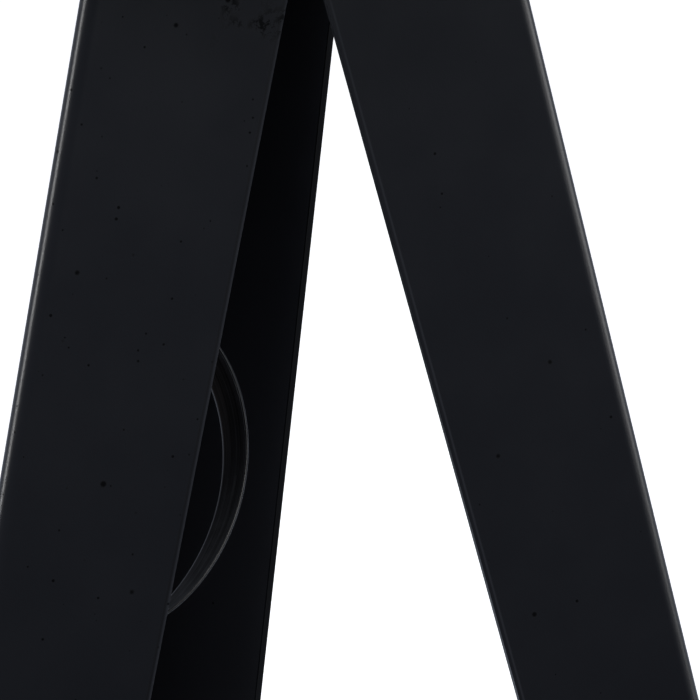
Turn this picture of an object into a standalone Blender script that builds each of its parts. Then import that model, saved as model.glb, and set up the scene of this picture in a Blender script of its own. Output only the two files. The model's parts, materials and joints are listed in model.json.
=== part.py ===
"""A folding tripod hunting stand with a swivel seat: three folded-sheet legs hinged under a triangular
head, tilting feet, and a springy strap in a loop inside the left leg."""

import math

import bmesh
import bpy
from mathutils import Vector

# Driving dimensions, in metres and radians.
GAP = 0.0003
SPLAY = math.radians(14.0)
LEGS = {"left": 210, "right": -30, "back": 90}

MEET_HEIGHT = 0.620  # where the edges of neighbouring legs would touch
MEET_RADIUS = 0.1148  # the legs' sharp outer corner, from the stand's axis, at that height
FLANGE_TAPER = 0.028  # how much narrower a flange gets for each metre down
SHEET = 0.004
BEND_RADIUS = 0.007
CORNER_RADIUS = 0.014  # the flanges' corners at a leg's two ends

PIVOT_DEPTH = 0.055  # from a leg's sharp corner inward to its hinge axis
PIVOT_DROP = 0.004  # from the meeting point down the leg to the hinge axis
LEG_ABOVE_PIVOT = 0.020

BRACKET_SHEET = 0.003
CHEEK_INSIDE = 0.014  # half the space between a bracket's two cheeks
BRACKET_NOSE_X = 0.038
LEG_BRACKET_LOW = -0.030  # the upper bracket's ends and rivets, from the hinge axis
LEG_BRACKET_HIGH = 0.016
LEG_BRACKET_INNER_X = -0.012
LEG_RIVET_Z = -0.006
FOOT_BRACKET_BELOW_PIN = 0.009
FOOT_BRACKET_ABOVE_PIN = 0.045
FOOT_BRACKET_BEHIND_PIN = 0.010
FOOT_RIVET_ABOVE_PIN = 0.026

HINGE_BOLT_RADIUS = 0.004
HEX_RADIUS = 0.0070  # the corners of the hinge bolts' heads and nuts
HINGE_HEAD_TALL = 0.005
HINGE_NUT_TALL = 0.006
BOLT_PAST_NUT = 0.0015
RIVET_RADIUS = 0.0025
RIVET_HEAD_RADIUS = 0.005
RIVET_HEAD_TALL = 0.0022
RIVET_TAIL_RADIUS = 0.0042
RIVET_TAIL_TALL = 0.0018
RIVET_FROM_CORNER = 0.030

PIN_HEIGHT = 0.028  # the foot pins above the ground
FOOT_PIN_X = 0.008
FOOT_PIN_RADIUS = 0.003
FOOT_PIN_HEAD_RADIUS = 0.0046
FOOT_PIN_HEAD_TALL = 0.0020
FOOT_RADIUS = 0.034
FOOT_PLATE_THICK = 0.003
FOOT_EAR_RADIUS = 0.008
FOOT_EAR_HALF = 0.010  # half the ear's width where it meets the plate
SOLE_THICK = 0.006
SOLE_BULGE = 0.002  # how far the sole stands out past the plate
SOLE_CHAMFER = 0.0015

HEAD_THICK = 0.006
HEAD_REACH = 0.118
HEAD_CORNER = 0.026
BLOCK_HALF_DEEP = 0.012
BLOCK_SCREW_RADIUS = 0.004
BLOCK_SCREW_HEAD_RADIUS = 0.0078
BLOCK_SCREW_LENGTH = 0.016
SCREW_SINK = 0.004  # the depth of the screw's head in the plate
SOCKET_RADIUS = 0.0025
SOCKET_DEPTH = 0.0030

SPINDLE_RADIUS = 0.006
SPINDLE_HEAD_RADIUS = 0.011
SPINDLE_HEAD_TALL = 0.0055
SPINDLE_BELOW_HEAD_PLATE = 0.016
SPINDLE_WASHER_RADIUS = 0.014
SPINDLE_WASHER_THICK = 0.002
SPINDLE_NUT_RADIUS = 0.0105
SPINDLE_NUT_TALL = 0.010
THRUST_THICK = 0.004
THRUST_RADIUS = 0.055

SEAT_RADIUS = 0.148
SEAT_SHEET = 0.0025
SEAT_RIM = 0.016
SEAT_RIM_BEND = 0.006
SEAT_STEP = 0.008  # the pan's flat middle is this much lower than the rest of it
SEAT_STEP_INNER = 0.062
SEAT_STEP_OUTER = 0.074
CUSHION_HEIGHT = 0.040
CUSHION_SIDE = 0.008  # the height at which the cushion's round shoulder starts
CUSHION_SQUARENESS = 0.12
CUSHION_POCKET_RADIUS = 0.030
CUSHION_POCKET_DEEP = 0.004

STRAP_WIDE = 0.025  # a springy coated band, bent to a loop
STRAP_THICK = 0.0015
STRAP_ACROSS = 0.0850  # the loop's middle, across the flange from the leg's sharp corner
STRAP_ALONG = 0.2354  # down the leg from the meeting point
STRAP_NEAR = 0.0352  # and behind the flange's outer face, at the band's nearer edge
STRAP_HALF_WIDTH = 0.0402
STRAP_HALF_HEIGHT = 0.0661
STRAP_FULLNESS = 0.0024  # what makes the loop more an egg than an ellipse
STRAP_LEAN = 0.0057
STRAP_DROOP = 0.0023
STRAP_TILT = 0.0012
STRAP_RISE = 0.428  # how much the loop's plane falls back for each unit up the leg
STRAP_TURN = 0.122  # and for each unit across
SLIDER_ANGLE = math.radians(160)  # the band's ends overlap here, in the slider
SLIDER_HALF_SPREAD = math.radians(7)
SLIDER_THICK = 0.0016
KEEPER_ANGLE = math.radians(228)  # and here the welded keeper holds it
KEEPER_HALF_SPREAD = math.radians(5.5)
KEEPER_THICK = 0.0018
KEEPER_FOOT_SPREAD = 1.5  # the foot is this much larger than the keeper above it
KEEPER_WELD_INSET = 0.9  # and its top lies this far out in the keeper's nearer wall
STRAP_STEPS = 64
SLEEVE_CLEARANCE = 0.0004

# Worked out from those.
HALF_ANGLE = math.atan(math.tan(math.radians(30)) / math.cos(SPLAY))
PIVOT_RADIUS = MEET_RADIUS + (PIVOT_DROP * math.sin(SPLAY)) - PIVOT_DEPTH * math.cos(SPLAY)
PIVOT_HEIGHT = MEET_HEIGHT - (PIVOT_DROP * math.cos(SPLAY)) - PIVOT_DEPTH * math.sin(SPLAY)
CORNER_TOP = PIVOT_HEIGHT + PIVOT_DEPTH * math.sin(SPLAY) + LEG_ABOVE_PIVOT * math.cos(SPLAY)
HEAD_LOW = CORNER_TOP + 2 * GAP
HEAD_TOP = HEAD_LOW + HEAD_THICK
SEAT_LOW = HEAD_TOP + THRUST_THICK + 2 * GAP
FOOT_PIN_Z = (PIN_HEIGHT - PIVOT_HEIGHT - FOOT_PIN_X * math.sin(SPLAY)) / math.cos(SPLAY)
LEG_LOW = FOOT_PIN_Z + 0.004
BEND_X = PIVOT_DEPTH - BEND_RADIUS / math.sin(HALF_ANGLE)
LEG_REACH = PIVOT_RADIUS + (BEND_X + BEND_RADIUS) * math.cos(SPLAY) - LEG_LOW * math.sin(SPLAY)
AXIS_Y = (SEAT_RADIUS - LEG_REACH) / 2  # keeps the origin under the middle of the whole stand


def clear_scene():
    for item in list(bpy.data.objects):
        bpy.data.objects.remove(item, do_unlink=True)


def material(name, colour, roughness, metallic):
    made = bpy.data.materials.new(name)
    made.use_nodes = True
    shader = made.node_tree.nodes["Principled BSDF"]
    shader.inputs["Base Color"].default_value = (*colour, 1)
    shader.inputs["Roughness"].default_value = roughness
    shader.inputs["Metallic"].default_value = metallic
    return made


def place(name, bm, finish, parent=None, location=(0, 0, 0), rotation=(0, 0, 0)):
    """Turns a bmesh into a named object, with its faces pointing out and its round sides smooth."""
    bmesh.ops.recalc_face_normals(bm, faces=bm.faces)
    mesh = bpy.data.meshes.new(name)
    bm.to_mesh(mesh)
    bm.free()
    mesh.shade_smooth()
    mesh.set_sharp_from_angle(angle=math.radians(35))
    made = bpy.data.objects.new(name, mesh)
    bpy.context.scene.collection.objects.link(made)
    if finish:
        mesh.materials.append(finish)
    made.parent = parent
    made.location = location
    made.rotation_euler = rotation
    return made


def empty(name, location, rotation=(0, 0, 0), parent=None):
    made = bpy.data.objects.new(name, None)
    bpy.context.scene.collection.objects.link(made)
    made.parent = parent
    made.location = location
    made.rotation_euler = rotation
    return made


def loft(sections, closed=False):
    """A solid through point loops of equal length, capped at both ends unless it closes on itself."""
    bm = bmesh.new()
    loops = [[bm.verts.new(point) for point in section] for section in sections]
    count = len(loops[0])
    pairs = list(zip(loops, loops[1:]))
    if closed:
        pairs.append((loops[-1], loops[0]))
    for low, high in pairs:
        for i in range(count):
            j = (i + 1) % count
            bm.faces.new((low[i], low[j], high[j], high[i]))
    if not closed:
        bm.faces.new(loops[0])
        bm.faces.new(loops[-1])
    return bm


def prism(outline, low, high):
    return loft([[(x, y, z) for x, y in outline] for z in (low, high)])


def turned(profile, sides=20):
    """A closed profile of (radius, height) points, turned round the Z axis."""
    bm = bmesh.new()
    ring = [bm.verts.new((radius, 0, height)) for radius, height in profile]
    edges = [bm.edges.new(pair) for pair in zip(ring, ring[1:] + ring[:1])]
    bmesh.ops.spin(bm, geom=ring + edges, axis=(0, 0, 1), cent=(0, 0, 0), steps=sides,
                   angle=2 * math.pi, use_duplicate=False)
    bmesh.ops.remove_doubles(bm, verts=bm.verts, dist=1e-6)
    bmesh.ops.dissolve_degenerate(bm, edges=bm.edges, dist=1e-6)
    return bm


def rod(radius, low, high, sides=16):
    return turned([(0, high), (radius, high), (radius, low), (0, low)], sides)


def arc(centre, radius, start, end, steps):
    """Points on a circle in the plane, from one angle to another."""
    angles = [start + (end - start) * i / steps for i in range(steps + 1)]
    return [(centre[0] + radius * math.cos(a), centre[1] + radius * math.sin(a)) for a in angles]


def hexagon(radius):
    return arc((0, 0), radius, 0, math.radians(300), 5)


def rounded_triangle(reach, corner):
    """A triangle with a corner towards each leg, its corners round."""
    points = []
    for azimuth in sorted(LEGS.values()):
        turn = math.radians(azimuth)
        centre = ((reach - corner) * math.cos(turn), (reach - corner) * math.sin(turn))
        points += arc(centre, corner, turn - math.radians(60), turn + math.radians(60), 8)
    return points


def helper(name, bm, parent=None, location=(0, 0, 0), rotation=(0, 0, 0)):
    made = place(name, bm, None, parent, location, rotation)
    made.hide_render = True
    made.display_type = "WIRE"
    return made


def combine(target, operation, other):
    modifier = target.modifiers.new(other.name, "BOOLEAN")
    modifier.operation = operation
    modifier.object = other
    modifier.solver = "EXACT"


def drill(target, name, radius, length, parent, location, rotation=(0, 0, 0), sides=16):
    """A round hole through the target, centred on the location and along the rotated Z axis."""
    cutter = helper(name, rod(radius, -length / 2, length / 2, sides), parent, location, rotation)
    combine(target, "DIFFERENCE", cutter)


# The legs. In a leg's frame X points outward, Z up the leg, and the origin is on its hinge axis.
ALONG_Y = (math.radians(-90), 0, 0)


def flange_point(side, across, depth):
    """The point this far from the leg's sharp corner along a flange, and this far in from its face."""
    x = PIVOT_DEPTH - across * math.cos(HALF_ANGLE) - depth * math.sin(HALF_ANGLE)
    y = across * math.sin(HALF_ANGLE) - depth * math.cos(HALF_ANGLE)
    return x, side * y


def flange_width(z):
    """A flange's width, square to the leg, at a height in the leg's frame."""
    down = (PIVOT_DROP - z) * math.cos(SPLAY)
    lean = math.cos(math.radians(30)) * math.sin(SPLAY)
    horizontal = MEET_RADIUS * math.cos(math.radians(30)) - FLANGE_TAPER * down
    return (horizontal - FLANGE_TAPER * lean * horizontal) * math.sqrt(1 - lean * lean)


def corner_inset(z):
    """How far the round corner at the nearer end of a leg takes its edge back."""
    into = CORNER_RADIUS - min(LEG_ABOVE_PIVOT - z, z - LEG_LOW)
    if into <= 0:
        return 0
    return CORNER_RADIUS - math.sqrt(max(CORNER_RADIUS**2 - into**2, 0))


def leg_section(z):
    """The leg's bent sheet, cut across at one height."""
    width = flange_width(z) - corner_inset(z)
    centre = (BEND_X, 0)
    spread = math.pi / 2 - HALF_ANGLE
    outer = arc(centre, BEND_RADIUS, spread, -spread, 10)
    inner = arc(centre, BEND_RADIUS - SHEET, -spread, spread, 10)
    points = [flange_point(1, width, 0), *outer, flange_point(-1, width, 0)]
    points += [flange_point(-1, width, SHEET), *inner, flange_point(1, width, SHEET)]
    return [(x, y, z) for x, y in points]


def leg_heights():
    """Rows close together round the corners at both ends, and one long run between them."""
    turn = [CORNER_RADIUS * (1 - math.cos(math.radians(15 * i))) for i in range(7)]
    return [LEG_LOW + t for t in turn] + [LEG_ABOVE_PIVOT - t for t in reversed(turn)]


def flange_rotation(side):
    """Turns Z to point out of the flange's face."""
    return (0, math.pi / 2, side * (math.pi / 2 - HALF_ANGLE))


def rivet_places(z):
    for tag, side in (("a", 1), ("b", -1)):
        x, y = flange_point(side, RIVET_FROM_CORNER, 0)
        yield tag, side, (x, y, z)


def bracket_outline(inner_x):
    """A channel whose bottom nests in the leg's bend, with two cheeks that reach inward."""
    outer_depth = SHEET + GAP
    inner_depth = outer_depth + BRACKET_SHEET
    tangent, cosine = math.tan(HALF_ANGLE), math.cos(HALF_ANGLE)

    def x_at(half_width, depth):
        return PIVOT_DEPTH - (half_width + depth / cosine) / tangent

    def half_width_at(x, depth):
        return (PIVOT_DEPTH - x) * tangent - depth / cosine

    cheek_outside = CHEEK_INSIDE + BRACKET_SHEET
    web_x = BRACKET_NOSE_X - BRACKET_SHEET
    upper = [(inner_x, cheek_outside), (x_at(cheek_outside, outer_depth), cheek_outside),
             (BRACKET_NOSE_X, half_width_at(BRACKET_NOSE_X, outer_depth))]
    lower = [(web_x, half_width_at(web_x, inner_depth)),
             (x_at(CHEEK_INSIDE, inner_depth), CHEEK_INSIDE), (inner_x, CHEEK_INSIDE)]
    mirrored = [[(x, -y) for x, y in reversed(side)] for side in (upper, lower)]
    return upper + mirrored[0] + mirrored[1] + lower


def make_leg(name, frame, finish):
    return place(f"leg_{name}", loft([leg_section(z) for z in leg_heights()]), finish, frame)


def make_bracket(node, leg, frame, finish, low, high, inner_x, rivet_z, pin):
    """A bracket riveted into the leg's bend. The pin is the (x, z) of its hole and the hole's radius."""
    bracket = place(node, prism(bracket_outline(inner_x), low, high), finish, frame)
    (pin_x, pin_z), radius = pin
    drill(bracket, f"{node}_pin_hole", radius + GAP, 0.06, frame, (pin_x, 0, pin_z), ALONG_Y)
    rivet_node = node.replace("bracket", "rivet")
    for tag, side, spot in rivet_places(rivet_z):
        turn = flange_rotation(side)
        cutter = helper(f"{rivet_node}_{tag}_hole", rod(RIVET_RADIUS + GAP, -0.012, 0.006, 12),
                        frame, spot, turn)
        combine(bracket, "DIFFERENCE", cutter)
        combine(leg, "DIFFERENCE", cutter)
        place(f"{rivet_node}_{tag}", rivet(), finish, frame, spot, turn)
    return bracket


def rivet():
    """A domed rivet. Its origin is on the flange's outer face, and it goes through both sheets."""
    grip = -(SHEET + 2 * GAP + BRACKET_SHEET)
    tail_end = grip - RIVET_TAIL_TALL
    profile = [(0, RIVET_HEAD_TALL), (0.6 * RIVET_HEAD_RADIUS, 0.82 * RIVET_HEAD_TALL),
               (RIVET_HEAD_RADIUS, 2 * GAP), (RIVET_HEAD_RADIUS, GAP), (RIVET_RADIUS, GAP),
               (RIVET_RADIUS, grip), (RIVET_TAIL_RADIUS, grip), (0.8 * RIVET_TAIL_RADIUS, tail_end),
               (0, tail_end)]
    return turned(profile, 12)


def hinge_shank(face):
    """The hinge bolt's shank along Z. It reaches halfway into the head at its low end."""
    end = face + HINGE_NUT_TALL + BOLT_PAST_NUT
    inside_head = -face - HINGE_HEAD_TALL / 2
    chamfer = 2 * GAP
    return turned([(0, end), (HINGE_BOLT_RADIUS - chamfer, end), (HINGE_BOLT_RADIUS, end - chamfer),
                   (HINGE_BOLT_RADIUS, inside_head), (0, inside_head)], 20)


def hex_nut(radius, hole, low, high):
    """A hexagonal nut along Z. Its corners alternate with the middles of its flats round the hole."""
    flat = radius * math.cos(math.radians(30))
    outer = [(r * math.cos(a), r * math.sin(a)) for r, a in
             ((radius if i % 2 == 0 else flat, math.radians(30 * i)) for i in range(12))]
    inner = arc((0, 0), hole, 0, math.radians(330), 11)
    return loft([[(x, y, z) for x, y in ring] for ring, z in
                 ((outer, low), (outer, high), (inner, high), (inner, low))], closed=True)


def make_hinge(name, frame, steel):
    """The bolt through the bracket's cheeks and the block between them, and its nut."""
    face = CHEEK_INSIDE + BRACKET_SHEET + GAP
    bolt = place(f"hinge_bolt_{name}", hinge_shank(face), steel, frame, (0, 0, 0), ALONG_Y)
    head = prism(hexagon(HEX_RADIUS), -face - HINGE_HEAD_TALL, -face)
    combine(bolt, "UNION", helper(f"hinge_bolt_{name}_head", head, frame, (0, 0, 0), ALONG_Y))
    nut = hex_nut(HEX_RADIUS, HINGE_BOLT_RADIUS + GAP, face, face + HINGE_NUT_TALL)
    place(f"hinge_nut_{name}", nut, steel, frame, (0, 0, 0), ALONG_Y)


def make_foot_plate(name, tilt, finish):
    """A round plate with an ear on top that turns on the foot pin."""
    low = -PIN_HEIGHT + SOLE_THICK + GAP
    high = low + FOOT_PLATE_THICK
    disc = turned([(0, high), (FOOT_RADIUS - 0.002, high), (FOOT_RADIUS, high - 0.001), (FOOT_RADIUS, low),
                   (0, low)], 32)
    plate = place(f"foot_plate_{name}", disc, finish, tilt)
    root = low + 0.001
    ear = [(-FOOT_EAR_HALF, root), *arc((0, 0), FOOT_EAR_RADIUS, math.pi, 0, 10), (FOOT_EAR_HALF, root)]
    half = CHEEK_INSIDE - GAP
    upright = (math.pi / 2, 0, 0)
    solid_ear = helper(f"foot_plate_{name}_ear", prism(ear, -half, half), tilt, (0, 0, 0), upright)
    combine(plate, "UNION", solid_ear)
    drill(plate, f"foot_plate_{name}_hole", FOOT_PIN_RADIUS + GAP, 0.05, tilt, (0, 0, 0), ALONG_Y)


def foot_sole():
    """A rubber pad under the plate, its two edges cut back."""
    high = -PIN_HEIGHT + SOLE_THICK
    out = FOOT_RADIUS + SOLE_BULGE
    return turned([(0, high), (FOOT_RADIUS, high), (out, high - SOLE_CHAMFER),
                   (out, -PIN_HEIGHT + SOLE_CHAMFER), (FOOT_RADIUS, -PIN_HEIGHT), (0, -PIN_HEIGHT)], 32)


def foot_pin():
    """A pin with a low domed head formed at each end."""
    face = CHEEK_INSIDE + BRACKET_SHEET + GAP
    end = face + FOOT_PIN_HEAD_TALL
    crown, rim = FOOT_PIN_RADIUS, end - GAP
    half = [(0, end), (crown, rim), (FOOT_PIN_HEAD_RADIUS, face), (FOOT_PIN_RADIUS, face)]
    return turned([*half, *((radius, -height) for radius, height in reversed(half))], 20)


def make_foot(name, frame, finishes):
    """The pin, plate and sole at a leg's low end. They tilt together."""
    tilt = empty(f"foot_frame_{name}", (FOOT_PIN_X, 0, FOOT_PIN_Z), (0, SPLAY, 0), frame)
    make_foot_plate(name, tilt, finishes["paint"])
    place(f"foot_sole_{name}", foot_sole(), finishes["rubber"], tilt)
    place(f"foot_pin_{name}", foot_pin(), finishes["steel"], tilt, (0, 0, 0), ALONG_Y)


def pivot_spot(azimuth):
    """The middle of a leg's hinge axis."""
    turn = math.radians(azimuth)
    return PIVOT_RADIUS * math.cos(turn), AXIS_Y + PIVOT_RADIUS * math.sin(turn), PIVOT_HEIGHT


def make_legs(finishes):
    frames = {}
    for name, azimuth in LEGS.items():
        frame = empty(f"leg_frame_{name}", pivot_spot(azimuth), (0, -SPLAY, math.radians(azimuth)))
        leg = make_leg(name, frame, finishes["paint"])
        make_bracket(f"leg_bracket_{name}", leg, frame, finishes["paint"], LEG_BRACKET_LOW,
                     LEG_BRACKET_HIGH, LEG_BRACKET_INNER_X, LEG_RIVET_Z, ((0, 0), HINGE_BOLT_RADIUS))
        make_bracket(f"foot_bracket_{name}", leg, frame, finishes["paint"],
                     FOOT_PIN_Z - FOOT_BRACKET_BELOW_PIN, FOOT_PIN_Z + FOOT_BRACKET_ABOVE_PIN,
                     FOOT_PIN_X - FOOT_BRACKET_BEHIND_PIN, FOOT_PIN_Z + FOOT_RIVET_ABOVE_PIN,
                     ((FOOT_PIN_X, FOOT_PIN_Z), FOOT_PIN_RADIUS))
        make_hinge(name, frame, finishes["steel"])
        make_foot(name, frame, finishes)
        frames[name] = frame
    return frames


# The head and the seat.
def make_block(name, azimuth, finish):
    """The block under the head plate that a leg's hinge bolt goes through."""
    spot, upright = pivot_spot(azimuth), (math.pi / 2, 0, math.radians(azimuth))
    top = HEAD_LOW - GAP - PIVOT_HEIGHT
    outline = [(-BLOCK_HALF_DEEP, top), *arc((0, 0), BLOCK_HALF_DEEP, math.pi, 2 * math.pi, 12),
               (BLOCK_HALF_DEEP, top)]
    half = CHEEK_INSIDE - GAP
    block = place(f"hinge_block_{name}", prism(outline, -half, half), finish, None, spot, upright)
    drill(block, f"hinge_block_{name}_hole", HINGE_BOLT_RADIUS + GAP, 0.06, None, spot, upright)
    return block


def block_screw(depth):
    """A countersunk screw with a round socket, just under flush with the plate's top at z = 0."""
    return turned([(SOCKET_RADIUS, -GAP), (BLOCK_SCREW_HEAD_RADIUS, -GAP), (BLOCK_SCREW_RADIUS, -SCREW_SINK),
                   (BLOCK_SCREW_RADIUS, -depth), (0, -depth), (0, -SOCKET_DEPTH),
                   (SOCKET_RADIUS, -SOCKET_DEPTH)], 20)


def screw_sink():
    """The cutter for a screw's hole through the plate, with a cone for the screw's head."""
    hole = BLOCK_SCREW_RADIUS + GAP
    cone = BLOCK_SCREW_HEAD_RADIUS + 2 * GAP + SCREW_SINK
    return turned([(0, SCREW_SINK), (cone, SCREW_SINK), (hole, -SCREW_SINK), (hole, -0.02), (0, -0.02)], 20)


def make_head(finishes):
    outline = rounded_triangle(HEAD_REACH, HEAD_CORNER)
    here = (0, AXIS_Y, 0)
    plate = place("head_plate", prism(outline, HEAD_LOW, HEAD_TOP), finishes["paint"], None, here)
    drill(plate, "head_plate_hole", SPINDLE_RADIUS + GAP, 0.1, None, (0, AXIS_Y, HEAD_LOW))
    depth = HEAD_THICK + BLOCK_SCREW_LENGTH
    for name, azimuth in LEGS.items():
        x, y, _ = pivot_spot(azimuth)
        spot = (x, y, HEAD_TOP)
        block = make_block(name, azimuth, finishes["aluminium"])
        pocket = rod(BLOCK_SCREW_RADIUS + GAP, -depth - GAP, SCREW_SINK)
        combine(block, "DIFFERENCE", helper(f"block_pocket_{name}", pocket, None, spot))
        combine(plate, "DIFFERENCE", helper(f"head_sink_{name}", screw_sink(), None, spot))
        place(f"block_screw_{name}", block_screw(depth), finishes["steel"], None, spot)


def seat_profile():
    """The pressed seat pan: flat on its bearing, up a step, out to a rolled rim."""
    low, high = SEAT_LOW, SEAT_LOW + SEAT_STEP
    hole, out = SPINDLE_RADIUS + GAP, SEAT_RADIUS
    inner_out, inner_bend = out - SEAT_SHEET, SEAT_RIM_BEND - SEAT_SHEET
    top = high + SEAT_SHEET
    rim_low = top - SEAT_RIM
    slope_shift = SEAT_SHEET / 2  # keeps the step's slope as thick as the rest
    return [(hole, low + SEAT_SHEET), (SEAT_STEP_INNER, low + SEAT_SHEET), (SEAT_STEP_OUTER, top),
            *arc((out - SEAT_RIM_BEND, top - SEAT_RIM_BEND), SEAT_RIM_BEND, math.pi / 2, 0, 3),
            (out, rim_low), (inner_out, rim_low),
            *arc((inner_out - inner_bend, high - inner_bend), inner_bend, 0, math.pi / 2, 2),
            (SEAT_STEP_OUTER + slope_shift, high), (SEAT_STEP_INNER + slope_shift, low), (hole, low)]


def cushion_profile():
    """A low round cushion with a pocket under it for the spindle's head."""
    low = SEAT_LOW + SEAT_SHEET + SEAT_STEP + GAP
    rise = CUSHION_HEIGHT - CUSHION_SIDE
    side = []
    for angle in map(math.radians, (83, 76, 65, 50, 30, 0)):
        reach = SEAT_RADIUS * math.cos(angle) ** CUSHION_SQUARENESS
        side.append((reach, low + CUSHION_SIDE + rise * math.sin(angle)))
    pocket_top = low + CUSHION_POCKET_DEEP
    return [(0, low + CUSHION_HEIGHT), *side, (SEAT_RADIUS - CUSHION_SIDE / 2, low),
            (CUSHION_POCKET_RADIUS, low), (CUSHION_POCKET_RADIUS, pocket_top), (0, pocket_top)]


def washer(hole, radius, low, high, sides):
    return turned([(hole, high), (radius, high), (radius, low), (hole, low)], sides)


def spindle_bolt():
    """The bolt that the seat turns on, with a low domed head on top of the pan."""
    head = SEAT_LOW + SEAT_SHEET + GAP
    low = HEAD_LOW - SPINDLE_BELOW_HEAD_PLATE
    dome = [(0, head + SPINDLE_HEAD_TALL), (0.77 * SPINDLE_HEAD_RADIUS, head + 0.8 * SPINDLE_HEAD_TALL),
            (SPINDLE_HEAD_RADIUS, head + 0.36 * SPINDLE_HEAD_TALL), (SPINDLE_HEAD_RADIUS, head)]
    return turned([*dome, (SPINDLE_RADIUS, head), (SPINDLE_RADIUS, low), (0, low)], 24)


def make_seat(finishes):
    here = (0, AXIS_Y, 0)
    hole, low = SPINDLE_RADIUS + GAP, HEAD_TOP + GAP
    thrust = washer(hole, THRUST_RADIUS, low, low + THRUST_THICK, 32)
    place("thrust_washer", thrust, finishes["nylon"], None, here)
    place("seat_pan", turned(seat_profile(), 48), finishes["paint"], None, here)
    place("seat_cushion", turned(cushion_profile(), 48), finishes["vinyl"], None, here)
    place("spindle_bolt", spindle_bolt(), finishes["steel"], None, here)
    under = HEAD_LOW - GAP
    plain = washer(hole, SPINDLE_WASHER_RADIUS, under - SPINDLE_WASHER_THICK, under, 24)
    place("spindle_washer", plain, finishes["steel"], None, here)
    nut_top = under - SPINDLE_WASHER_THICK - GAP
    nut = hex_nut(SPINDLE_NUT_RADIUS, hole, nut_top - SPINDLE_NUT_TALL, nut_top)
    place("spindle_nut", nut, finishes["steel"], None, here)


# The strap, inside the left leg.
FRONT = 1  # the left leg's front flange is on the +Y side of its frame


def inside(across, along, depth):
    """A point in the leg's frame: across the front flange, down from the meeting point, and in."""
    x, y = flange_point(FRONT, across, depth)
    return Vector((x, y, PIVOT_DROP - along))


def near_edge(turn):
    """The band's nearer edge at an angle round the loop, as across, along and depth."""
    across = (STRAP_HALF_WIDTH * math.cos(turn) + STRAP_FULLNESS * math.cos(2 * turn)
              + STRAP_LEAN * math.sin(turn))
    along = (STRAP_DROOP * math.sin(2 * turn) - STRAP_HALF_HEIGHT * math.sin(turn)
             - STRAP_TILT * math.cos(turn))
    depth = STRAP_NEAR - STRAP_RISE * along + STRAP_TURN * across
    return Vector((STRAP_ACROSS + across, STRAP_ALONG + along, depth))


def band_point(turn, outward, over):
    """A point this far out from the band's middle thickness and this far over from its nearer edge."""
    wide = Vector((-STRAP_TURN, STRAP_RISE, 1)).normalized()
    step = math.radians(1)
    out = wide.cross(near_edge(turn + step) - near_edge(turn - step)).normalized()
    return inside(*(near_edge(turn) + out * outward + wide * over))


def band_section(turn, grow):
    """The band's square outline, this much larger than the band."""
    out = STRAP_THICK / 2 + grow
    far = STRAP_WIDE + grow
    corners = ((-out, -grow), (out, -grow), (out, far), (-out, far))
    return [band_point(turn, side, over) for side, over in corners]


def sleeve(turn, half_spread, thick):
    """A square sleeve round the band."""
    inner, outer = SLEEVE_CLEARANCE, SLEEVE_CLEARANCE + thick
    first, last = turn - half_spread, turn + half_spread
    rings = ((inner, first), (outer, first), (outer, last), (inner, last))
    return loft([band_section(angle, grow) for grow, angle in rings], closed=True)


def keeper_foot():
    """The flared foot that joins the keeper's nearer wall to the flange."""
    wall = STRAP_THICK / 2 + SLEEVE_CLEARANCE + KEEPER_THICK * KEEPER_WELD_INSET
    over = -(SLEEVE_CLEARANCE + KEEPER_THICK / 2)
    corners = ((-1, -1), (1, -1), (1, 1), (-1, 1))
    middle = near_edge(KEEPER_ANGLE)
    ahead = near_edge(KEEPER_ANGLE + KEEPER_HALF_SPREAD) - middle
    side = Vector((-ahead.y, ahead.x, 0)).normalized() * wall
    base = [middle + (ahead * along + side * across) * KEEPER_FOOT_SPREAD for along, across in corners]
    turn = KEEPER_HALF_SPREAD * KEEPER_WELD_INSET
    top = [band_point(KEEPER_ANGLE + turn * along, wall * across, over) for along, across in corners]
    return loft([[inside(spot.x, spot.y, SHEET + GAP) for spot in base], top])


def make_strap(frame, finishes):
    sections = [band_section(2 * math.pi * i / STRAP_STEPS, 0) for i in range(STRAP_STEPS)]
    place("strap_loop", loft(sections, closed=True), finishes["strap"], frame)
    place("strap_slider", sleeve(SLIDER_ANGLE, SLIDER_HALF_SPREAD, SLIDER_THICK), finishes["nylon"], frame)
    keeper = place("strap_keeper", sleeve(KEEPER_ANGLE, KEEPER_HALF_SPREAD, KEEPER_THICK),
                   finishes["paint"], frame)
    combine(keeper, "UNION", helper("strap_keeper_foot", keeper_foot(), frame))


def make_finishes():
    return {
        "paint": material("satin_black_paint", (0.012, 0.013, 0.015), 0.42, 0.0),
        "aluminium": material("cast_aluminium", (0.45, 0.46, 0.48), 0.45, 1.0),
        "steel": material("zinc_steel", (0.35, 0.35, 0.36), 0.35, 1.0),
        "rubber": material("black_rubber", (0.02, 0.02, 0.02), 0.8, 0.0),
        "nylon": material("black_nylon", (0.03, 0.03, 0.03), 0.5, 0.0),
        "vinyl": material("seat_vinyl", (0.02, 0.02, 0.022), 0.5, 0.0),
        "strap": material("strap_coating", (0.015, 0.014, 0.014), 0.2, 0.0),
    }


def main():
    clear_scene()
    finishes = make_finishes()
    frames = make_legs(finishes)
    make_head(finishes)
    make_seat(finishes)
    make_strap(frames["left"], finishes)


main()
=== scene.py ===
import json
import math

import bmesh
import bpy
from mathutils import Matrix, Quaternion, Vector, noise


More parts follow.
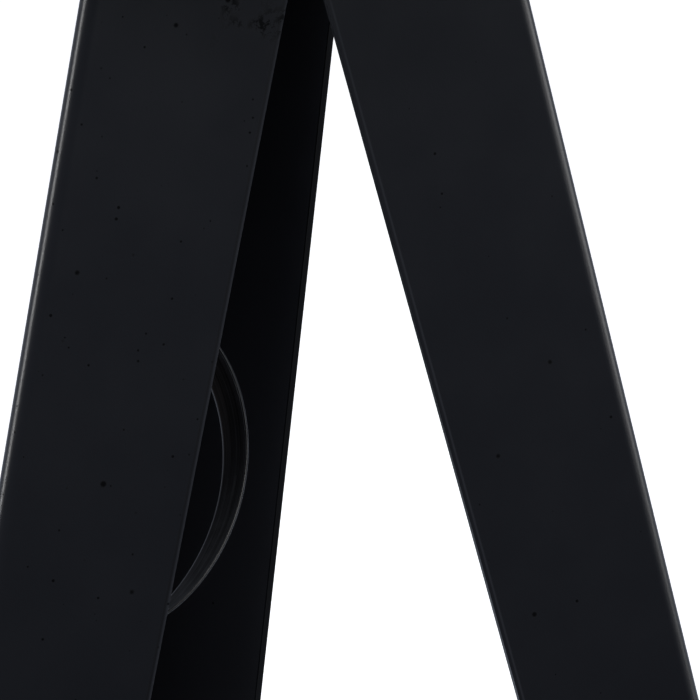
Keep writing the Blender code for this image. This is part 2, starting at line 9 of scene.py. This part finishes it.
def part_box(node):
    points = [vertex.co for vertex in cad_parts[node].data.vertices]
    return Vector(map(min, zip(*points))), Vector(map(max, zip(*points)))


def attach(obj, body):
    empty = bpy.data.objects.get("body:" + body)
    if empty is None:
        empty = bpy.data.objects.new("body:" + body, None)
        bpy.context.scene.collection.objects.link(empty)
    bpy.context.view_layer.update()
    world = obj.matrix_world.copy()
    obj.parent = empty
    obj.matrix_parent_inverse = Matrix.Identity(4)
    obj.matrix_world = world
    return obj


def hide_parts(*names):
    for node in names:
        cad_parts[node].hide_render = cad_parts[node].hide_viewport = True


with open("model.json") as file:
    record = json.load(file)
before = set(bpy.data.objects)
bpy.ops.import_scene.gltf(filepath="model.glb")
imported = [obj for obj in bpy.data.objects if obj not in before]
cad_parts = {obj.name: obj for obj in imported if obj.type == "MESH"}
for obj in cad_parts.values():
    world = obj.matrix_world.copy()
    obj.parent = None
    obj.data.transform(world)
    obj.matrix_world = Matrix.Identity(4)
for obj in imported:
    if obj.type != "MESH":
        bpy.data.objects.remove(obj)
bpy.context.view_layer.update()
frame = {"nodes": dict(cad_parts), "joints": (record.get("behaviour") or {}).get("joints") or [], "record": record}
record_joints = {joint["name"]: joint for joint in frame["joints"]}

# Sizes of the stand, in metres, that the looks are built on.
SPLAY = math.radians(14)
HALF_ANGLE = math.atan(math.tan(math.radians(30)) / math.cos(SPLAY))
LEGS = {"left": 210, "right": -30, "back": 90}
MEET_RADIUS = 0.1148
FLANGE_TAPER = 0.028
SHEET = 0.004
BEND_RADIUS = 0.007
CORNER_RADIUS = 0.014
PIVOT_DEPTH = 0.055
PIVOT_DROP = 0.004
LEG_ABOVE_PIVOT = 0.020


# The camera: a long lens, a little left of the front and looking down.
def make_camera():
    azimuth, elevation, roll = math.radians(-17.21), math.radians(20), math.radians(0.17)
    distance, aim_height, aim_aside = 4.5, 0.400, 0.0379
    back = Vector((math.sin(azimuth) * math.cos(elevation), -math.cos(azimuth) * math.cos(elevation),
                   math.sin(elevation)))
    right = Vector((math.cos(azimuth), math.sin(azimuth), 0))
    pivots = [Vector(record_joints[f"fold_{name}"]["pos_m"]) for name in LEGS]
    axis = sum(pivots, Vector()) / 3
    target = Vector((axis.x, axis.y, aim_height)) + right * aim_aside
    data = bpy.data.cameras.new("camera")
    data.sensor_width = 36
    data.lens = 514.3
    data.clip_end = 100
    camera = bpy.data.objects.new("camera", data)
    bpy.context.scene.collection.objects.link(camera)
    camera.location = target + back * distance
    camera.rotation_mode = "QUATERNION"
    camera.rotation_quaternion = (-back).to_track_quat("-Z", "Y") @ Quaternion((0, 0, 1), roll)
    bpy.context.scene.camera = camera


def leg_matrix(name):
    """A leg's own frame: X outward, Z up the leg, the origin on its hinge axis."""
    spot = Vector(record_joints[f"fold_{name}"]["pos_m"])
    turn = Matrix.Rotation(math.radians(LEGS[name]), 4, "Z")
    lean = Matrix.Rotation(-SPLAY, 4, "Y")
    return Matrix.Translation(spot) @ turn @ lean


def flange_point(side, across, depth):
    x = PIVOT_DEPTH - across * math.cos(HALF_ANGLE) - depth * math.sin(HALF_ANGLE)
    y = across * math.sin(HALF_ANGLE) - depth * math.cos(HALF_ANGLE)
    return x, side * y


def inside(across, along, depth):
    """A point by the front flange of the left leg: across it, down from its top, and in from its face."""
    x, y = flange_point(1, across, depth)
    return Vector((x, y, PIVOT_DROP - along))


# The strap: a springy coated band in a loop, held by its keeper inside the left leg.
STRAP_WIDE, STRAP_THICK = 0.025, 0.0015
STRAP_ACROSS, STRAP_ALONG, STRAP_NEAR = 0.0850, 0.2354, 0.0352
STRAP_HALF_WIDTH, STRAP_HALF_HEIGHT = 0.0402, 0.0661
STRAP_FULLNESS, STRAP_LEAN, STRAP_DROOP, STRAP_TILT = 0.0024, 0.0057, 0.0023, 0.0012
STRAP_RISE, STRAP_TURN = 0.428, 0.122
STRAP_STEPS = 192
RIB_HEIGHT = 0.00004


def near_edge(turn):
    """The band's nearer edge at an angle round the loop, as across, along and depth."""
    across = (STRAP_HALF_WIDTH * math.cos(turn) + STRAP_FULLNESS * math.cos(2 * turn)
              + STRAP_LEAN * math.sin(turn))
    along = (STRAP_DROOP * math.sin(2 * turn) - STRAP_HALF_HEIGHT * math.sin(turn)
             - STRAP_TILT * math.cos(turn))
    depth = STRAP_NEAR - STRAP_RISE * along + STRAP_TURN * across
    return Vector((STRAP_ACROSS + across, STRAP_ALONG + along, depth))


def smooth_route(points, steps):
    ends = [points[0] * 2 - points[1], *points, points[-1] * 2 - points[-2]]
    found = []
    for a, b, c, d in zip(ends, ends[1:], ends[2:], ends[3:]):
        for i in range(steps):
            t = i / steps
            found.append(0.5 * (2 * b + (c - a) * t + (2 * a - 5 * b + 4 * c - d) * t**2
                                + (3 * b - a - 3 * c + d) * t**3))
    return [*found, points[-1]]


def strap_profile():
    """The band's section, as out and over: two faces with shallow lengthwise ribs, and round edges."""
    half = STRAP_THICK / 2
    points = []
    for side in (1, -1):
        for i in range(9):
            t = math.radians(-90 + 180 * i / 8)
            over = side * (STRAP_WIDE / 2 - half + half * math.cos(t))
            points.append((-side * half * math.sin(t), over))
        for i in range(1, 24):
            over = side * (STRAP_WIDE / 2 - half) * (1 - i / 12)
            rib = RIB_HEIGHT * math.cos(2 * math.pi * 3 * i / 24)
            points.append((-side * (half - RIB_HEIGHT + rib), over))
    return points


def make_strap(finish):
    wide = Vector((-STRAP_TURN, STRAP_RISE, 1)).normalized()
    profile = strap_profile()
    sections = []
    for i in range(STRAP_STEPS):
        turn = 2 * math.pi * i / STRAP_STEPS
        step = 2 * math.pi / STRAP_STEPS
        ahead = near_edge(turn + step / 2) - near_edge(turn - step / 2)
        out = wide.cross(ahead).normalized()
        middle = near_edge(turn) + wide * STRAP_WIDE / 2
        sections.append([inside(*(middle + out * a + wide * b)) for a, b in profile])
    bm = bmesh.new()
    lanes = bm.loops.layers.uv.new("band")
    loops = [[bm.verts.new(point) for point in section] for section in sections]
    count = len(profile)
    for i, (low, high) in enumerate(zip(loops, loops[1:] + loops[:1])):
        for j in range(count):
            k = (j + 1) % count
            face = bm.faces.new((low[j], low[k], high[k], high[j]))
            for loop, u, v in zip(face.loops, (i, i, i + 1, i + 1), (j, k or count, k or count, j)):
                loop[lanes].uv = (u / STRAP_STEPS, v / count)
    strap = piece("strap", bm, finish)
    strap.matrix_world = leg_matrix("left")
    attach(strap, "leg_left")
    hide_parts("strap_loop")
    return strap


# Materials.
class Shader:
    """A Principled material with short ways to add to it."""

    def __init__(self, name, base, roughness, metallic=0.0, specular=0.5):
        self.material = bpy.data.materials.new(name)
        self.material.use_nodes = True
        self.tree = self.material.node_tree
        self.bsdf = self.tree.nodes["Principled BSDF"]
        self.set(self.bsdf, "Base Color", (*base, 1))
        self.set(self.bsdf, "Roughness", roughness)
        self.set(self.bsdf, "Metallic", metallic)
        self.set(self.bsdf, "Specular IOR Level", specular)
        self.place = self.tree.nodes.new("ShaderNodeTexCoord").outputs["Object"]
        self.height = None

    def set(self, node, name, value):
        if isinstance(value, bpy.types.NodeSocket):
            self.tree.links.new(value, node.inputs[name])
        else:
            node.inputs[name].default_value = value

    def add(self, kind, settings=None, **inputs):
        node = self.tree.nodes.new(kind)
        for name, value in (settings or {}).items():
            setattr(node, name, value)
        for name, value in inputs.items():
            self.set(node, name.replace("_", " "), value)
        return node

    def noise(self, scale, detail=2.0, roughness=0.5, where=None, **settings):
        node = self.add("ShaderNodeTexNoise", settings, Vector=where or self.place, Scale=scale,
                        Detail=detail, Roughness=roughness)
        return node.outputs["Fac"]

    def stretched(self, x, y, z):
        node = self.add("ShaderNodeMapping", None, Vector=self.place, Scale=(x, y, z))
        return node.outputs["Vector"]

    def ramp(self, value, low, high, to_low=0.0, to_high=1.0):
        node = self.add("ShaderNodeMapRange", {"interpolation_type": "SMOOTHSTEP"}, Value=value)
        for name, number in (("From Min", low), ("From Max", high),
                             ("To Min", to_low), ("To Max", to_high)):
            node.inputs[name].default_value = number
        return node.outputs["Result"]

    def math(self, operation, a, b):
        node = self.tree.nodes.new("ShaderNodeMath")
        node.operation = operation
        for socket, value in zip(node.inputs, (a, b)):
            if isinstance(value, bpy.types.NodeSocket):
                self.tree.links.new(value, socket)
            else:
                socket.default_value = value
        return node.outputs[0]

    def mix(self, share, a, b):
        node = self.add("ShaderNodeMix", {"data_type": "RGBA"})
        self.set(node, "Factor", share)
        for socket, value in ((node.inputs[6], a), (node.inputs[7], b)):
            if isinstance(value, bpy.types.NodeSocket):
                self.tree.links.new(value, socket)
            else:
                socket.default_value = (*value, 1)
        return node.outputs[2]

    def bump(self, height, distance, strength=1.0):
        node = self.add("ShaderNodeBump", None, Height=height, Strength=strength, Distance=distance)
        if self.height is not None:
            self.tree.links.new(self.height, node.inputs["Normal"])
        self.height = node.outputs["Normal"]
        self.set(self.bsdf, "Normal", self.height)


def specks(s, cell, size, seed_shift):
    """1 in small round spots, about one to each cell, each of its own size."""
    moved = s.add("ShaderNodeMapping", None, Vector=s.place, Location=seed_shift, Scale=(1, 1, 1))
    cells = s.add("ShaderNodeTexVoronoi", {"feature": "F1"}, Vector=moved.outputs["Vector"],
                  Scale=1 / cell, Randomness=1.0)
    radius = s.ramp(cells.outputs["Color"], 0.2, 1.0, 0.0, size / cell)
    edge = s.math("SUBTRACT", radius, cells.outputs["Distance"])
    return s.ramp(edge, 0.0, 0.5 * size / cell, 0.0, 0.8)


def from_edge(s):
    """How far a spot on a leg lies past its flange's cut edge; less than 0 on the flange."""
    axes = s.add("ShaderNodeSeparateXYZ", None, Vector=s.place).outputs
    start, slope = flange_width(0), flange_width(1) - flange_width(0)
    reach = s.math("MULTIPLY", s.math("SUBTRACT", PIVOT_DEPTH, axes["X"]), math.cos(HALF_ANGLE))
    aside = s.math("MULTIPLY", s.math("ABSOLUTE", axes["Y"], 0.0), math.sin(HALF_ANGLE))
    width = s.math("ADD", s.math("MULTIPLY", axes["Z"], slope), start)
    return s.math("SUBTRACT", s.math("ADD", reach, aside), width)


def inner_mask(s):
    """1 on the inner faces of a leg's flanges, in the leg's own frame."""
    axes = s.add("ShaderNodeSeparateXYZ", None, Vector=s.place).outputs
    reach = s.math("MULTIPLY", s.math("SUBTRACT", PIVOT_DEPTH, axes["X"]), math.sin(HALF_ANGLE))
    aside = s.math("MULTIPLY", s.math("ABSOLUTE", axes["Y"], 0.0), math.cos(HALF_ANGLE))
    return s.ramp(s.math("SUBTRACT", reach, aside), SHEET / 2, SHEET * 0.8)


def chafed_mask(s):
    """1 in the small chafed spots near the top of a leg, by the cut edge of its front flange."""
    axes = s.add("ShaderNodeSeparateXYZ", None, Vector=s.place).outputs
    reach = s.math("MULTIPLY", s.math("SUBTRACT", PIVOT_DEPTH, axes["X"]), math.cos(HALF_ANGLE))
    aside = s.math("MULTIPLY", axes["Y"], math.sin(HALF_ANGLE))
    by_edge = s.ramp(s.math("ADD", reach, aside), 0.048, 0.074)
    by_top = s.ramp(axes["Z"], -0.046, -0.026)
    worn = s.ramp(s.noise(330, 4, 0.75), 0.46, 0.56)
    wide = s.ramp(s.noise(55, 2, 0.5), 0.42, 0.60)
    return s.math("MULTIPLY", s.math("MULTIPLY", by_edge, by_top), s.math("MULTIPLY", worn, wide))


def black_paint(name="satin_black_paint_look", shift=(0, 0, 0), speck_cell=0.030, speck_size=0.0024,
                inner=None, painted_edge_lines=(), chafed=False):
    """Satin powder coat: fine orange peel, faint clouds, small dark pits and faint hairlines. Inner gives the
    inner faces lighter colours, part worn paint and part painted fill light.

    Each row of painted_edge_lines is a stripe along the cut edges, a pale one a painted highlight and a dark one
    painted shade: from, to, blur, colour and dullness."""
    s = Shader(name, (0.008, 0.0085, 0.011), 0.32)
    pits = specks(s, speck_cell, speck_size, shift)
    small = specks(s, speck_cell * 0.45, speck_size * 0.5, (shift[0] + 3.1, shift[1], shift[2]))
    marks_and_painted_edge_shade = s.math("MAXIMUM", pits, small)
    clouds = s.noise(22, 4, 0.6)
    peel = s.noise(1400, 2, 0.5)
    line = s.noise(1.0, 3, 0.6, where=s.stretched(60, 60, 900))
    scratch = s.ramp(line, 0.70, 0.76)
    paint_tone_and_painted_light = s.mix(clouds, (0.0060, 0.0065, 0.0090), (0.0085, 0.0090, 0.0120))
    # The inner faces get lighter paint: part worn paint, part painted fill light that stands in for a lamp.
    if inner:
        paint_tone_and_painted_light = s.mix(inner_mask(s), paint_tone_and_painted_light, s.mix(clouds, *inner))
    if chafed:
        marks_and_painted_edge_shade = s.math("MAXIMUM", marks_and_painted_edge_shade, s.math("MULTIPLY", chafed_mask(s), 0.75))
    # Stripes of painted light along the cut edges: a pale stripe is a painted highlight on the rounded edge, a
    # dark stripe is painted shade that also dulls the reflection.
    for low, high, blur, colour, dull in painted_edge_lines:
        past = from_edge(s)
        after_low = s.ramp(past, low - blur, low + blur)
        before_high = s.ramp(past, high - blur, high + blur, 1.0, 0.0)
        line = s.math("MULTIPLY", after_low, before_high)
        paint_tone_and_painted_light = s.mix(line, paint_tone_and_painted_light, colour)
        marks_and_painted_edge_shade = s.math("MAXIMUM", marks_and_painted_edge_shade, s.math("MULTIPLY", line, dull))
    s.set(s.bsdf, "Base Color", s.mix(marks_and_painted_edge_shade, paint_tone_and_painted_light, (0.001, 0.001, 0.001)))
    rough = s.math("ADD", s.ramp(clouds, 0.3, 0.7, 0.28, 0.33), s.math("MULTIPLY", scratch, 0.05))
    s.set(s.bsdf, "Roughness", s.math("ADD", rough, s.math("MULTIPLY", marks_and_painted_edge_shade, 0.3)))
    s.set(s.bsdf, "Specular IOR Level", s.ramp(marks_and_painted_edge_shade, 0.0, 1.0, 0.5, 0.03))
    s.bump(peel, 0.00003)
    return s.material


def strap_coating():
    s = Shader("strap_coating_look", (0.004, 0.0035, 0.0033), 0.2)
    lane = s.tree.nodes.new("ShaderNodeUVMap")
    lane.uv_map = "band"
    long = s.add("ShaderNodeMapping", None, Vector=lane.outputs["UV"], Scale=(3.0, 60.0, 1.0))
    streaks = s.noise(1.6, 3, 0.6, where=long.outputs["Vector"])
    haze = s.noise(160, 3, 0.6)
    parts = s.add("ShaderNodeSeparateXYZ", None, Vector=lane.outputs["UV"]).outputs
    half_way = s.math("FRACT", s.math("MULTIPLY", parts["Y"], 2.0), 0.0)
    rim = s.ramp(half_way, 8 / 32, 10 / 32, 1.0, 0.0)
    colour = s.mix(s.ramp(streaks, 0.35, 0.75), (0.0020, 0.0018, 0.0018), (0.0100, 0.0078, 0.0068))
    s.set(s.bsdf, "Base Color", colour)
    rough = s.ramp(haze, 0.3, 0.7, 0.40, 0.48)
    s.set(s.bsdf, "Roughness", s.math("SUBTRACT", rough, s.math("MULTIPLY", rim, 0.2)))
    # The lower part of the loop is given a higher specular level: a painted sheen that makes the lower part of the
    # loop brighter.
    low = s.math("FRACT", s.math("ADD", parts["X"], 0.5), 0.0)
    painted_sheen = s.math("MULTIPLY", s.ramp(low, 0.30, 0.58, 0.020, 0.0035),
                   s.ramp(streaks, 0.35, 0.65, 0.5, 1.8))
    # The rims get a higher specular level than the faces: painted highlight lines along the band's edges.
    painted_rim_highlight = s.ramp(parts["Y"], 0.3, 0.4, 0.13, 0.5)  # the far rim, then the near one
    s.set(s.bsdf, "Specular IOR Level", s.math("MAXIMUM", painted_sheen, s.math("MULTIPLY", rim, painted_rim_highlight)))
    s.bump(streaks, 0.00003)
    return s.material


def zinc_steel():
    s = Shader("zinc_steel_look", (0.36, 0.36, 0.37), 0.33, metallic=1.0)
    cloud = s.noise(300, 4, 0.6)
    s.set(s.bsdf, "Base Color", s.mix(cloud, (0.26, 0.26, 0.27), (0.46, 0.45, 0.43)))
    s.set(s.bsdf, "Roughness", s.ramp(cloud, 0.3, 0.7, 0.26, 0.45))
    s.bump(s.noise(1800, 2, 0.5), 0.00003)
    return s.material


def cast_aluminium():
    s = Shader("cast_aluminium_look", (0.45, 0.46, 0.48), 0.45, metallic=1.0)
    grain = s.noise(900, 3, 0.6)
    s.set(s.bsdf, "Base Color", s.mix(s.noise(70, 3, 0.6), (0.36, 0.37, 0.39), (0.52, 0.53, 0.55)))
    s.set(s.bsdf, "Roughness", s.ramp(grain, 0.3, 0.7, 0.38, 0.55))
    s.bump(grain, 0.00008)
    return s.material


def black_rubber():
    s = Shader("black_rubber_look", (0.018, 0.018, 0.018), 0.78, specular=0.3)
    dust = s.noise(45, 4, 0.65)
    colour = s.mix(s.ramp(dust, 0.45, 0.8), (0.014, 0.014, 0.014), (0.045, 0.042, 0.038))
    s.set(s.bsdf, "Base Color", colour)
    s.bump(s.noise(1100, 3, 0.6), 0.0001)
    return s.material


def black_nylon():
    s = Shader("black_nylon_look", (0.03, 0.03, 0.03), 0.5)
    s.set(s.bsdf, "Roughness", s.ramp(s.noise(120, 3, 0.6), 0.3, 0.7, 0.42, 0.6))
    s.bump(s.noise(1500, 2, 0.5), 0.00004)
    return s.material


def seat_vinyl():
    s = Shader("seat_vinyl_look", (0.016, 0.016, 0.018), 0.45)
    cells = s.add("ShaderNodeTexVoronoi", {"feature": "DISTANCE_TO_EDGE"}, Vector=s.place, Scale=750.0)
    grain = s.ramp(cells.outputs["Distance"], 0.0, 0.22)
    wear = s.noise(14, 4, 0.6)
    s.set(s.bsdf, "Base Color", s.mix(wear, (0.012, 0.012, 0.014), (0.024, 0.024, 0.026)))
    s.set(s.bsdf, "Roughness", s.ramp(wear, 0.3, 0.7, 0.38, 0.52))
    s.bump(grain, 0.00012)
    return s.material


def flange_width(z):
    down = (PIVOT_DROP - z) * math.cos(SPLAY)
    lean = math.cos(math.radians(30)) * math.sin(SPLAY)
    horizontal = MEET_RADIUS * math.cos(math.radians(30)) - FLANGE_TAPER * down
    return (horizontal - FLANGE_TAPER * lean * horizontal) * math.sqrt(1 - lean * lean)


def arc(centre, radius, start, end, steps):
    angles = [start + (end - start) * i / steps for i in range(steps + 1)]
    return [(centre[0] + radius * math.cos(a), centre[1] + radius * math.sin(a)) for a in angles]


def leg_section(z, low):
    into = CORNER_RADIUS - min(LEG_ABOVE_PIVOT - z, z - low)
    inset = CORNER_RADIUS - math.sqrt(max(CORNER_RADIUS**2 - max(into, 0)**2, 0))
    width = flange_width(z) - inset
    centre = (PIVOT_DEPTH - BEND_RADIUS / math.sin(HALF_ANGLE), 0)
    spread = math.pi / 2 - HALF_ANGLE
    outer = arc(centre, BEND_RADIUS, spread, -spread, 28)
    inner = arc(centre, BEND_RADIUS - SHEET, -spread, spread, 28)
    points = [flange_point(1, width, 0), *outer, flange_point(-1, width, 0)]
    points += [flange_point(-1, width, SHEET), *inner, flange_point(1, width, SHEET)]
    return [(x, y, z) for x, y in points]


def loft(sections, closed=False):
    bm = bmesh.new()
    loops = [[bm.verts.new(point) for point in section] for section in sections]
    count = len(loops[0])
    pairs = list(zip(loops, loops[1:]))
    if closed:
        pairs.append((loops[-1], loops[0]))
    for low, high in pairs:
        for i in range(count):
            j = (i + 1) % count
            bm.faces.new((low[i], low[j], high[j], high[i]))
    if not closed:
        bm.faces.new(loops[0])
        bm.faces.new(loops[-1])
    return bm


def piece(name, bm, finish, matrix=None):
    bmesh.ops.recalc_face_normals(bm, faces=bm.faces)
    mesh = bpy.data.meshes.new(name)
    bm.to_mesh(mesh)
    bm.free()
    mesh.shade_smooth()
    mesh.materials.append(finish)
    made = bpy.data.objects.new(name, mesh)
    bpy.context.scene.collection.objects.link(made)
    if matrix:
        made.matrix_world = matrix
    return made


def round_edges(made, width, segments, degrees=40):
    bevel = made.modifiers.new("round edges", "BEVEL")
    bevel.limit_method = "ANGLE"
    bevel.angle_limit = math.radians(degrees)
    bevel.width = width
    bevel.segments = segments
    bevel.harden_normals = True
    bevel.use_clamp_overlap = True


def make_leg(name, finish):
    matrix = leg_matrix(name)
    pin = Vector(record_joints[f"foot_tilt_{name}"]["pos_m"])
    low = (matrix.inverted() @ pin).z + 0.004
    turn = [CORNER_RADIUS * (1 - math.cos(math.radians(6 * i))) for i in range(16)]
    heights = [low + t for t in turn] + [LEG_ABOVE_PIVOT - t for t in reversed(turn)]
    leg = piece(f"leg_{name}_look", loft([leg_section(z, low) for z in heights]), finish, matrix)
    round_edges(leg, 0.00195, 7, 60)
    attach(leg, f"leg_{name}")
    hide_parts(f"leg_{name}")
    return leg


# The seat: a crowned round cushion with a welt, a side band and a lower seam.
def make_cushion(finish):
    low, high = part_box("seat_cushion")
    middle = (low + high) / 2
    radius = (high.x - low.x) / 2
    base = low.z
    rows = []
    pocket = 0.030
    # From the bottom edge up the band and over the crown: out from the rim, and up from the base.
    rim = [(-0.006, 0), (-0.0015, 0.0015), (-0.0003, 0.005), (-0.0018, 0.0075), (0.0006, 0.011),
           (0.0012, 0.016), (0.0004, 0.021), (-0.0016, 0.0242), (-0.0005, 0.0262), (0.0010, 0.0280),
           (-0.0002, 0.0302), (-0.0030, 0.0308), (-0.0060, 0.0305), (-0.011, 0.0325),
           (-0.020, 0.0355), (-0.034, 0.0380), (-0.055, 0.0394), (-0.085, 0.0400), (-0.120, 0.0396)]
    profile = [(pocket, base + 0.004), (pocket, base)]
    profile += [(radius + out, base + up) for out, up in rim] + [(0.006, base + 0.0394)]
    dense = smooth_route([Vector((r, h, 0)) for r, h in profile], 4)
    sides = 160
    for i in range(sides):
        turn = 2 * math.pi * i / sides
        row = []
        for point in dense:
            r, h = point.x, point.y
            shoulder = math.exp(-((radius - 0.016 - r) / 0.012) ** 2) if h > base + 0.029 else 0
            pucker = noise.noise(Vector((math.cos(turn) * 9, math.sin(turn) * 9, 0.3)))
            soft = noise.noise(Vector((r * math.cos(turn) * 16, r * math.sin(turn) * 16, 4.0)))
            height = h + 0.0011 * shoulder * pucker + (0.0008 * soft if h > base + 0.03 else 0)
            row.append((middle.x + r * math.cos(turn), middle.y + r * math.sin(turn), height))
        rows.append(row)
    bm = bmesh.new()
    loops = [[bm.verts.new(p) for p in row] for row in rows]
    for a, b in zip(loops, loops[1:] + loops[:1]):
        for i in range(len(a) - 1):
            bm.faces.new((a[i], a[i + 1], b[i + 1], b[i]))
    bm.faces.new([loop[0] for loop in loops])
    bm.faces.new([loop[-1] for loop in loops])
    cushion = piece("seat_cushion_look", bm, finish)
    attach(cushion, "seat")
    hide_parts("seat_cushion")
    return cushion


def refinish(looks):
    """Gives each CAD node that shows its look, and rounds its edges."""
    slots = {row["node"]: row["material_slot"] for row in frame["record"]["subparts"]}
    for name, node in frame["nodes"].items():
        node.data.materials.clear()
        node.data.materials.append(looks[slots[name]])
        if node.hide_render or name.startswith("seat_pan"):
            continue
        weld = node.modifiers.new("weld", "WELD")
        weld.merge_threshold = 0.00001
        round_edges(node, 0.0003, 2, 32)


# The surroundings.
def light(name, azimuth, height, distance, width, tall, power, colour, aim=0.35):
    data = bpy.data.lights.new(name, "AREA")
    data.shape = "RECTANGLE"
    data.size = width
    data.size_y = tall
    data.energy = power
    data.color = colour
    made = bpy.data.objects.new(name, data)
    bpy.context.scene.collection.objects.link(made)
    turn = math.radians(azimuth)
    spot = Vector((distance * math.cos(turn), distance * math.sin(turn) - 0.05, height))
    made.location = spot
    made.rotation_mode = "QUATERNION"
    made.rotation_quaternion = (Vector((0, -0.05, aim)) - spot).to_track_quat("-Z", "Y")
    made.visible_camera = False
    return made


def stage_material(name, glow):
    s = Shader(name, (0.86, 0.86, 0.86), 0.9, specular=0.1)
    grain = s.noise(3.0, 2, 0.5)
    s.set(s.bsdf, "Base Color", s.mix(grain, (0.85, 0.85, 0.85), (0.88, 0.88, 0.88)))
    s.set(s.bsdf, "Emission Color", (1, 1, 1, 1))
    s.set(s.bsdf, "Emission Strength", glow)
    return s.material


def make_world():
    """A dim studio: darker below the horizon in front, and brighter low towards the back."""
    world = bpy.data.worlds.new("studio")
    world.use_nodes = True
    tree = world.node_tree
    background = tree.nodes["Background"]
    background.inputs["Color"].default_value = (0.76, 0.83, 1.0, 1)
    axes = tree.nodes.new("ShaderNodeSeparateXYZ")
    tree.links.new(tree.nodes.new("ShaderNodeTexCoord").outputs["Generated"], axes.inputs[0])

    def ramp(axis, start, end, low, high):
        node = tree.nodes.new("ShaderNodeMapRange")
        node.interpolation_type = "SMOOTHSTEP"
        tree.links.new(axes.outputs[axis], node.inputs["Value"])
        for name, value in (("From Min", start), ("From Max", end), ("To Min", low), ("To Max", high)):
            node.inputs[name].default_value = value
        return node.outputs["Result"]

    def combine(operation, a, b):
        node = tree.nodes.new("ShaderNodeMath")
        node.operation = operation
        tree.links.new(a, node.inputs[0])
        tree.links.new(b, node.inputs[1])
        return node.outputs[0]

    front = ramp("Z", -0.32, -0.04, 0.03, 0.20)
    behind = combine("MULTIPLY", ramp("Y", -0.15, 0.5, 0.0, 1.0), ramp("Z", -0.5, 0.1, 0.75, 0.25))
    tree.links.new(combine("MAXIMUM", front, behind), background.inputs["Strength"])
    bpy.context.scene.world = world


def make_surroundings():
    bm = bmesh.new()
    bmesh.ops.create_circle(bm, cap_ends=True, radius=32, segments=64)
    floor = piece("floor", bm, stage_material("floor_look", 0.80))
    floor.location.z = -0.0005
    bm = bmesh.new()
    bmesh.ops.create_uvsphere(bm, u_segments=48, v_segments=24, radius=32)
    dome = piece("backdrop", bm, stage_material("backdrop_look", 1.1))
    for made in (floor, dome):
        made.visible_glossy = False
        made.visible_diffuse = False
        made.visible_transmission = False
    dome.visible_shadow = False
    make_world()
    light("left strip", 169, 0.55, 2.0, 0.30, 1.7, 16, (1, 1, 1))
    light("right softbox", 354, 0.85, 2.0, 0.8, 1.5, 10, (1, 1, 1))
    light("right fill", 332, 0.95, 2.0, 1.0, 1.5, 4.5, (1, 1, 1))
    light("front fill", 287, 1.25, 1.4, 0.9, 0.9, 4.6, (0.9, 0.95, 1))
    light("top", 250, 2.2, 0.9, 1.2, 1.2, 14, (1, 1, 1))
    bpy.context.scene.view_settings.view_transform = "Standard"


make_camera()
coating = strap_coating()
make_strap(coating)
paint = black_paint()
# Lighter colours for the back leg's inner faces: part worn paint, part painted fill light in place of a lamp.
inner_wear_and_painted_fill = ((0.036, 0.036, 0.041), (0.048, 0.048, 0.054))
# A painted highlight along the cut edges of the front legs.
painted_edge_highlight = (0.0250, 0.0260, 0.0310)
leg_paints = {
    # The left leg's cut edge has a dark stripe of painted shade just inside a pale painted highlight.
    "left": black_paint("leg_left_paint", (0.4, 0.1, 0.2), 0.0125, 0.0022, chafed=True,
                        painted_edge_lines=((-0.0022, -0.0013, 0.0003, (0.0060, 0.0060, 0.0080), 0.25),
                                    (-0.0009, 0.0100, 0.0003, painted_edge_highlight, 0.0))),
    "right": black_paint("leg_right_paint", (1.3, 0.7, 0.5), 0.019, 0.0022,
                         painted_edge_lines=((-0.0024, -0.0015, 0.0003, painted_edge_highlight, 0.0),)),
    # The back leg's cut edge is painted dark and dull: painted shade over its edge highlight.
    "back": black_paint("leg_back_paint", (2.2, 1.9, 0.9), 0.036, inner=inner_wear_and_painted_fill,
                        painted_edge_lines=((-0.00050, 0.0100, 0.0003, (0.0006, 0.0006, 0.0008), 0.75),))}
for leg_name in LEGS:
    make_leg(leg_name, leg_paints[leg_name])
vinyl = seat_vinyl()
make_cushion(vinyl)
refinish({"satin_black_paint": paint, "cast_aluminium": cast_aluminium(), "zinc_steel": zinc_steel(),
          "black_rubber": black_rubber(), "black_nylon": black_nylon(), "seat_vinyl": vinyl,
          "strap_coating": coating})
make_surroundings()
